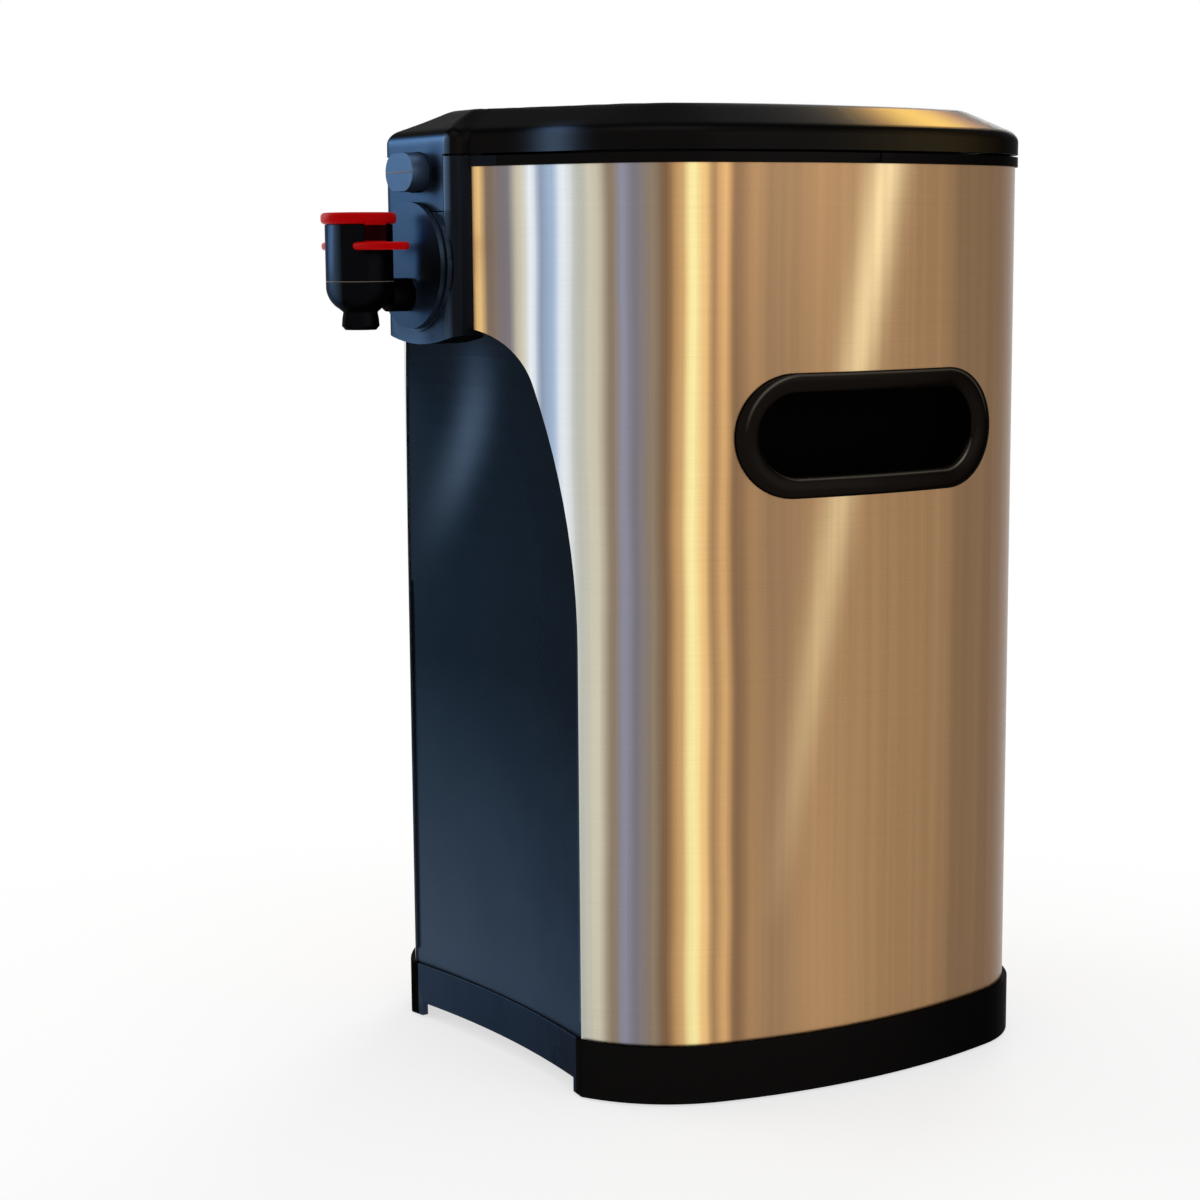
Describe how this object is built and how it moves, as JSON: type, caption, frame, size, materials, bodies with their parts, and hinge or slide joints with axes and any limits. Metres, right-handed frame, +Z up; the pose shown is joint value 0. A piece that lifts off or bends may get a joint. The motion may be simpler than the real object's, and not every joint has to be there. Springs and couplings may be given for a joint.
{
  "type": "wine preservation dispenser",
  "caption": "Free-standing dispenser with a steel wrap, front scoop for a glass, press tap on a column, lift-off lid and a sprung platform that presses a wine bag.",
  "frame": {"origin": "middle of the whole object's box, on the surface that it stands on", "axes": "+X to the object's own left as it faces the user (the viewer's right), +Y to its back, +Z up; the tap faces -Y"},
  "size_m": [0.2166, 0.2635, 0.3584],
  "materials": {
    "base_skirt": "satin black moulding",
    "rubber_feet": "soft rubber",
    "base_screws": "zinc plated",
    "steel_wrap": "brushed lengthwise, satin",
    "front_scoop_panel": "satin blue-black moulding",
    "collar_ring": "satin black moulding",
    "spout_column": "satin black moulding",
    "deck_screws": "zinc plated",
    "chamber_liner": "moulded, plain",
    "handle_bezel_left": "satin black moulding",
    "handle_cup_left": "satin black moulding",
    "handle_bezel_right": "satin black moulding",
    "handle_cup_right": "satin black moulding",
    "lift_platform": "moulded, plain",
    "platform_pad": "soft rubber",
    "guide_shoe_left": "moulded, plain",
    "guide_shoe_right": "moulded, plain",
    "strip_clip_left": "zinc plated",
    "strip_clip_right": "zinc plated",
    "guide_rails_left": "moulded, plain",
    "guide_rails_right": "moulded, plain",
    "spring_bracket_left": "zinc plated",
    "spring_bracket_right": "zinc plated",
    "spool_pin_left": "zinc plated",
    "spool_pin_right": "zinc plated",
    "spool_hub_left": "moulded, plain",
    "spool_hub_right": "moulded, plain",
    "spring_coil_left": "spring steel, bare",
    "spring_coil_right": "spring steel, bare",
    "spring_strip_left": "spring steel, bare",
    "spring_strip_right": "spring steel, bare",
    "bracket_screws": "zinc plated",
    "catch_ears": "moulded, plain",
    "catch_pin": "zinc plated",
    "platform_catch": "moulded, plain",
    "lid_shell": "satin black moulding",
    "lid_plug": "moulded, plain",
    "lid_seal": "soft rubber",
    "lid_screws": "zinc plated",
    "release_button": "satin black moulding",
    "latch_hook": "moulded, plain",
    "latch_guide": "moulded, plain",
    "latch_spring": "spring steel, bare",
    "tap_body": "satin black moulding",
    "tap_handle": "red moulding, light gloss",
    "tap_button": "red moulding, light gloss",
    "valve_stem": "moulded, plain",
    "valve_seal": "soft rubber",
    "tap_spring": "spring steel, bare",
    "spout_gland": "moulded, plain"
  },
  "bodies": {
    "housing": {"base_skirt": "base_skirt", "rubber_feet": "rubber_feet", "base_screws": "base_screws", "steel_wrap": "steel_wrap", "front_scoop_panel": "front_scoop_panel", "collar_ring": "collar_ring", "spout_column": "spout_column", "deck_screws": "deck_screws", "chamber_liner": "chamber_liner", "handle_bezel_left": "handle_bezel_left", "handle_cup_left": "handle_cup_left", "handle_bezel_right": "handle_bezel_right", "handle_cup_right": "handle_cup_right", "guide_rails_left": "guide_rails_left", "guide_rails_right": "guide_rails_right", "spring_bracket_left": "spring_bracket_left", "spring_bracket_right": "spring_bracket_right", "spool_pin_left": "spool_pin_left", "spool_pin_right": "spool_pin_right", "spring_strip_left": "spring_strip_left", "spring_strip_right": "spring_strip_right", "bracket_screws": "bracket_screws", "catch_ears": "catch_ears", "catch_pin": "catch_pin", "tap_body": "tap_body", "tap_handle": "tap_handle", "tap_spring": "tap_spring", "spout_gland": "spout_gland"},
    "lid": {"lid_shell": "lid_shell", "lid_plug": "lid_plug", "lid_seal": "lid_seal", "lid_screws": "lid_screws", "latch_guide": "latch_guide", "latch_spring": "latch_spring"},
    "release": {"release_button": "release_button", "latch_hook": "latch_hook"},
    "tap_plunger": {"tap_button": "tap_button", "valve_stem": "valve_stem", "valve_seal": "valve_seal"},
    "platform": {"lift_platform": "lift_platform", "platform_pad": "platform_pad", "guide_shoe_left": "guide_shoe_left", "guide_shoe_right": "guide_shoe_right", "strip_clip_left": "strip_clip_left", "strip_clip_right": "strip_clip_right"},
    "spool_left": {"spool_hub_left": "spool_hub_left", "spring_coil_left": "spring_coil_left"},
    "spool_right": {"spool_hub_right": "spool_hub_right", "spring_coil_right": "spring_coil_right"},
    "catch": {"platform_catch": "platform_catch"}
  },
  "joints": [
    {"name": "lid_lift", "type": "slide", "parent": "housing", "child": "lid", "axis": [0, 0, 1], "range_m": [0, 0.09]},
    {"name": "release_press", "type": "slide", "parent": "lid", "child": "release", "axis": [0, 1, 0], "range_m": [0, 0.003], "stiffness_N_per_m": 600, "springref_m": -0.001, "deforming": ["latch_spring"]},
    {"name": "tap_press", "type": "slide", "parent": "housing", "child": "tap_plunger", "axis": [0, 0, -1], "range_m": [0, 0.004], "stiffness_N_per_m": 1200, "springref_m": -0.001, "deforming": ["tap_spring"]},
    {"name": "platform_lift", "type": "slide", "parent": "housing", "child": "platform", "axis": [0, 0, 1], "range_m": [0, 0.245], "deforming": ["spring_strip_left", "spring_strip_right"]},
    {"name": "spool_spin_right", "type": "hinge", "parent": "housing", "child": "spool_right", "pos_m": [0.089, 0.03385, 0.316], "axis": [0, 1, 0], "range_deg": [0, 1480]},
    {"name": "spool_spin_left", "type": "hinge", "parent": "housing", "child": "spool_left", "pos_m": [-0.089, 0.03385, 0.316], "axis": [0, -1, 0], "range_deg": [0, 1480]},
    {"name": "catch_swing", "type": "hinge", "parent": "housing", "child": "catch", "pos_m": [0, 0.11235, 0.0508], "axis": [-1, 0, 0], "range_deg": [0, 14]}
  ],
  "couplings": [
    {"joint": "spool_spin_right", "follows": "platform_lift", "rad_per_m": 105.26},
    {"joint": "spool_spin_left", "follows": "platform_lift", "rad_per_m": 105.26}
  ]
}
